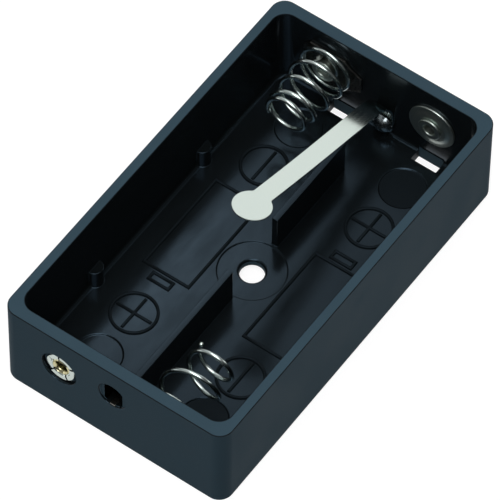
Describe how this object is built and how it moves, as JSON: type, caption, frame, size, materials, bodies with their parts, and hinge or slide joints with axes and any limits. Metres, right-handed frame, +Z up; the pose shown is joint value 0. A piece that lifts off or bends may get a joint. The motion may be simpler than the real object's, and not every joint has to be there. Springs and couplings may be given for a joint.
{
  "type": "cylindrical cell holder",
  "caption": "Open moulded battery holder for cylindrical cells side by side, with riveted contacts, coil springs, a solder terminal and a sprung retaining strap.",
  "frame": {"origin": "middle of the base's outline, on the base", "axes": "+X across the width to the right seen from the solder terminals, +Y along the length towards the strap's rivet, +Z up out of the open tray"},
  "size_m": [0.034, 0.06, 0.0187],
  "materials": {
    "moulded_plastic": "glossy inside, satin outside, black",
    "nickel_plate": "nickel plated sheet steel",
    "spring_wire": "bright nickel plated wire",
    "strap_steel": "bright rolled spring steel",
    "rivet_metal": "dull plated rivet"
  },
  "bodies": {
    "holder": {"housing": "moulded_plastic", "link_strip": "nickel_plate", "back_spring_plate": "nickel_plate", "back_spring_eyelet": "nickel_plate", "right_disc": "nickel_plate", "right_disc_eyelet": "nickel_plate", "left_disc": "nickel_plate", "terminal_eyelet": "nickel_plate", "front_spring_plate": "nickel_plate", "front_spring_eyelet": "nickel_plate", "strap_rivet": "rivet_metal"},
    "strap": {"retaining_strap": "strap_steel"},
    "back_coil": {"back_spring": "spring_wire"},
    "front_coil": {"front_spring": "spring_wire"}
  },
  "joints": [
    {"name": "strap_lift", "type": "hinge", "parent": "holder", "child": "strap", "pos_m": [0.00085, 0.0269, 0.0078], "axis": [-1, 0, 0], "range_deg": [-12, 50], "stiffness_Nm_per_rad": 0.07, "deforming": ["retaining_strap"]},
    {"name": "back_spring_press", "type": "slide", "parent": "holder", "child": "back_coil", "axis": [0, 1, 0], "range_m": [0, 0.0045], "stiffness_N_per_m": 1100, "deforming": ["back_spring"]},
    {"name": "front_spring_press", "type": "slide", "parent": "holder", "child": "front_coil", "axis": [0, -1, 0], "range_m": [0, 0.006], "stiffness_N_per_m": 800, "deforming": ["front_spring"]}
  ]
}
